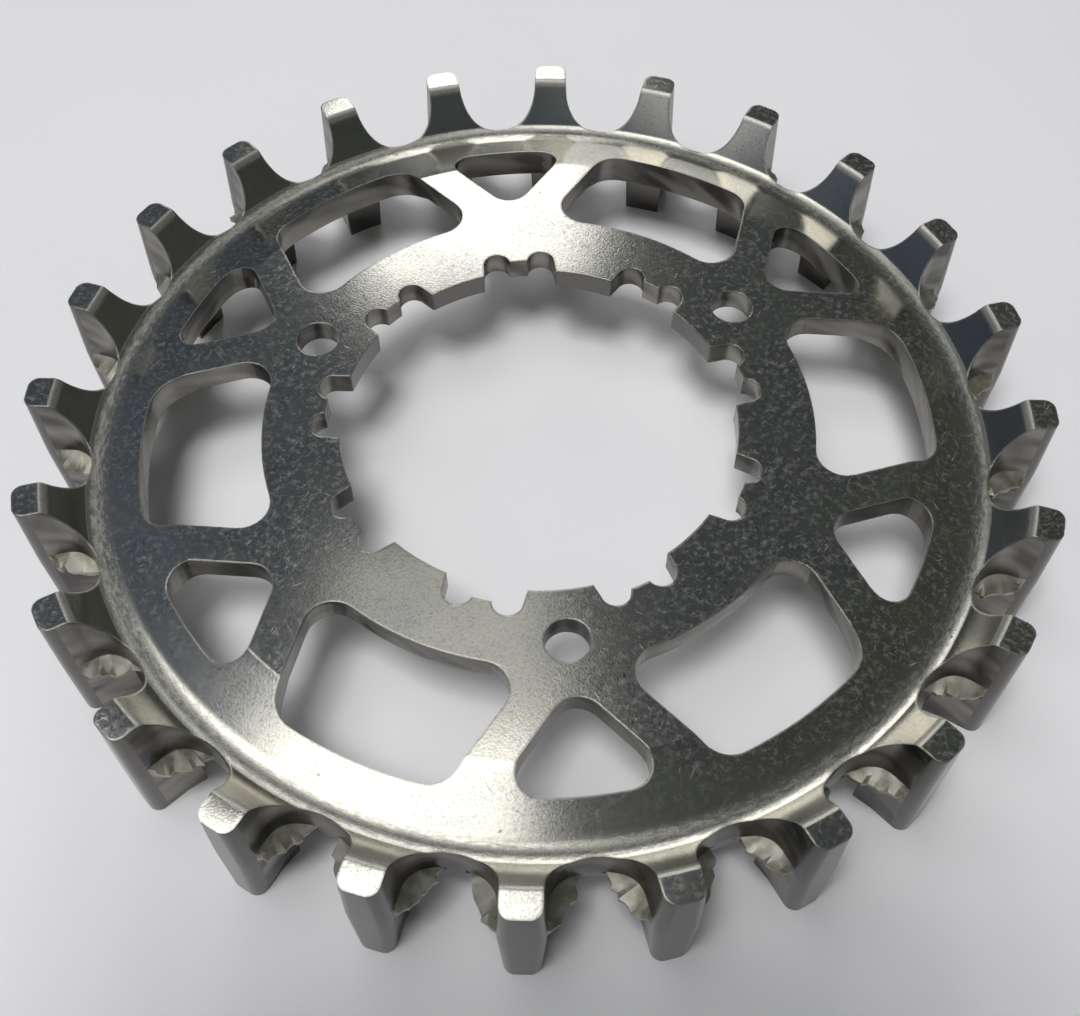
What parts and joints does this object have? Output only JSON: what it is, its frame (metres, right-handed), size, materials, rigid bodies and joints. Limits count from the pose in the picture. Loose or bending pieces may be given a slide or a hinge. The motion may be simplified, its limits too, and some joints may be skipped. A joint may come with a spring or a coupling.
{
  "type": "belt drive sprocket",
  "caption": "Dished stainless steel rear sprocket for a bicycle belt drive, with drafted teeth, a skeleton web with rounded windows, bolt holes and a splined bore.",
  "frame": {"origin": "on the axis, level with the lower ends of the teeth that it rests on", "axes": "+Z along the axis towards the outer face of the web, -Y through one bolt hole"},
  "size_m": [0.082, 0.082, 0.013],
  "materials": {
    "steel": "tumbled stainless steel, satin, with fine bright scratches"
  },
  "bodies": {
    "root": {"sprocket": "steel"}
  },
  "joints": []
}
